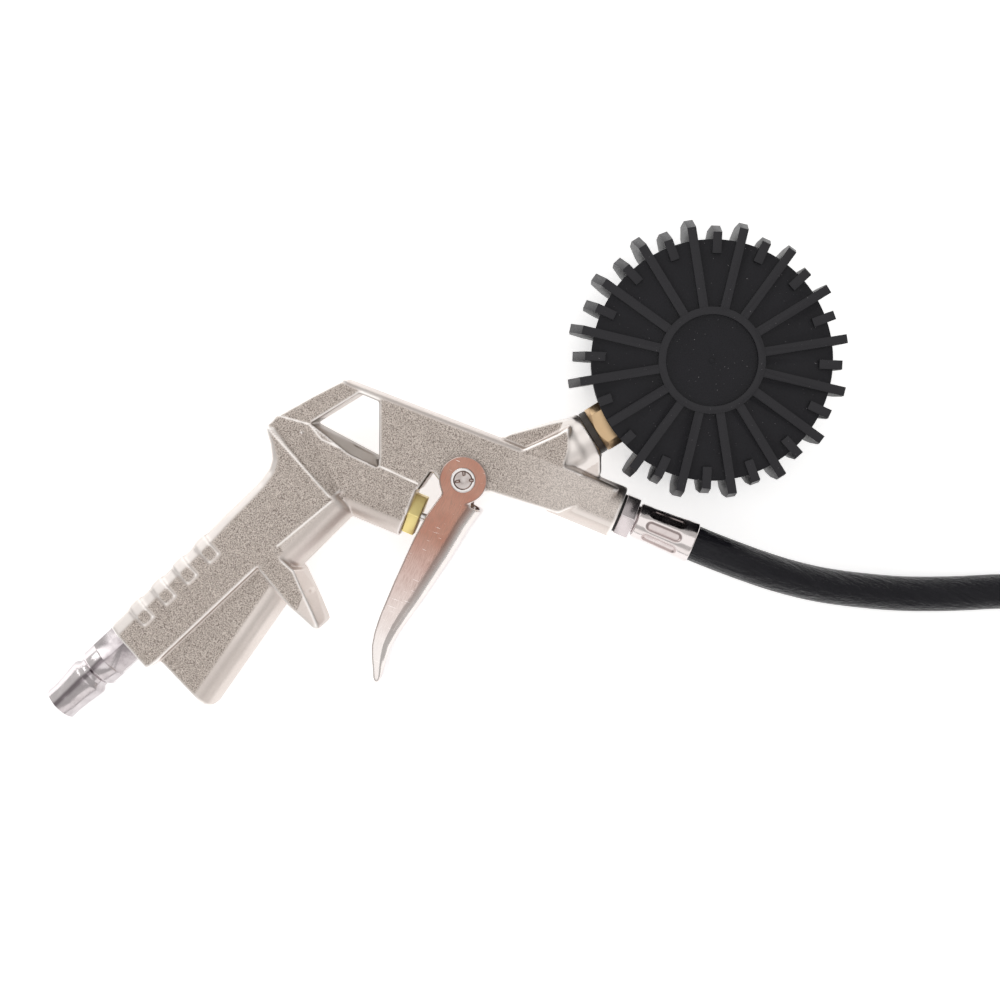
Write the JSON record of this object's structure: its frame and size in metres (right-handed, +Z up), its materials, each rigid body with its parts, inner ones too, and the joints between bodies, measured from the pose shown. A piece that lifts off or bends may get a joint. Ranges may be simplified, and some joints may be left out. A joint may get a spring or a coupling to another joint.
{
  "type": "tyre inflator with gauge",
  "caption": "Pistol-shaped tyre inflator with a squeeze trigger, a dial gauge in a ribbed rubber boot, and a short hose that ends in a clip-on air chuck.",
  "frame": {"origin": "centre of the bottom of the gun, without its hose, as it lies on a bench with the gauge face down", "axes": "+Z up from the bench; +X along the barrel towards the hose; +Y from the trigger side to the gauge side"},
  "size_m": [0.5046, 0.2487, 0.0487],
  "materials": {
    "cast": "blasted and satin nickel plated die casting",
    "nickel": "satin nickel plate",
    "trigger_steel": "bright plated sheet steel, lightly scratched",
    "brass_bright": "turned",
    "brass_tan": "turned",
    "steel": "bright",
    "rubber_black": "matt moulded",
    "seal_black": "soft",
    "seal_red": "soft",
    "case_black": "semi-gloss",
    "dial_white": "printed",
    "pointer_red": "satin",
    "glass": "clear",
    "hose_black": "glossy"
  },
  "bodies": {
    "gun": {"body_casting": "cast", "core_plugs": "steel", "inlet_plug": "nickel", "inlet_washer": "seal_black", "packing_nut": "brass_bright", "stem_o_ring": "seal_black", "valve_seat": "brass_bright", "valve_spring": "steel", "trigger_pin": "steel", "gauge_socket": "brass_tan", "thread_seal": "seal_black", "gauge_case": "case_black", "bourdon_tube": "brass_tan", "movement_frame": "brass_tan", "dial_face": "dial_white", "dial_screws": "steel", "dial_posts": "steel", "lens": "glass", "lens_gasket": "seal_black", "bezel_ring": "case_black", "rubber_boot": "rubber_black", "hose_adapter": "nickel", "adapter_washer": "seal_black", "crimped_hose_end": "hose_black", "hose_ferrule": "nickel", "hose": "hose_black", "chuck_ferrule": "nickel", "clamped_hose_end": "hose_black", "chuck_body": "brass_bright", "chuck_seal": "seal_red", "chuck_depressor": "steel", "lever_pin": "steel", "lever_spring": "steel"},
    "trigger": {"trigger_lever": "trigger_steel"},
    "valve": {"valve_stem": "steel", "valve_poppet": "brass_bright", "poppet_seal": "seal_black"},
    "sector": {"sector_gear": "brass_bright"},
    "link": {"tip_link": "brass_tan"},
    "needle": {"pinion": "brass_bright", "pointer": "pointer_red"},
    "chuck_grip": {"chuck_lever": "steel"}
  },
  "joints": [
    {"name": "trigger_squeeze", "type": "hinge", "parent": "gun", "child": "trigger", "pos_m": [-0.0008, 0.0078, 0.02195], "axis": [0.0226, 0.075, -0.9969], "range_deg": [0, 13], "stiffness_Nm_per_rad": 0.4, "springref_deg": -20.05},
    {"name": "valve_lift", "type": "slide", "parent": "gun", "child": "valve", "axis": [-0.9997, 0, -0.0227], "range_m": [0, 0.0042], "deforming": ["valve_spring"]},
    {"name": "sector_turn", "type": "hinge", "parent": "gun", "child": "sector", "pos_m": [0.05377, 0.06634, 0.02759], "axis": [0.0226, 0.075, -0.9969], "range_deg": [0, 27], "stiffness_Nm_per_rad": 0.002},
    {"name": "pointer_turn", "type": "hinge", "parent": "gun", "child": "needle", "pos_m": [0.06155, 0.07696, 0.02857], "axis": [-0.0226, -0.075, 0.9969], "range_deg": [0, 270]},
    {"name": "link_turn", "type": "hinge", "parent": "sector", "child": "link", "pos_m": [0.05083, 0.06232, 0.02722], "axis": [0.0226, 0.075, -0.9969], "range_deg": [-27, 0]},
    {"name": "chuck_lever_lift", "type": "hinge", "parent": "gun", "child": "chuck_grip", "pos_m": [0.38449, 0.06843, 0.01712], "axis": [-0.9903, 0.1392, 0], "range_deg": [-14, 0], "stiffness_Nm_per_rad": 0.3, "springref_deg": 17.19, "deforming": ["lever_spring"]}
  ],
  "couplings": [
    {"joint": "valve_lift", "follows": "trigger_squeeze", "m_per_rad": 0.0169},
    {"joint": "pointer_turn", "follows": "sector_turn", "ratio": 10},
    {"joint": "link_turn", "follows": "sector_turn", "ratio": -1}
  ]
}
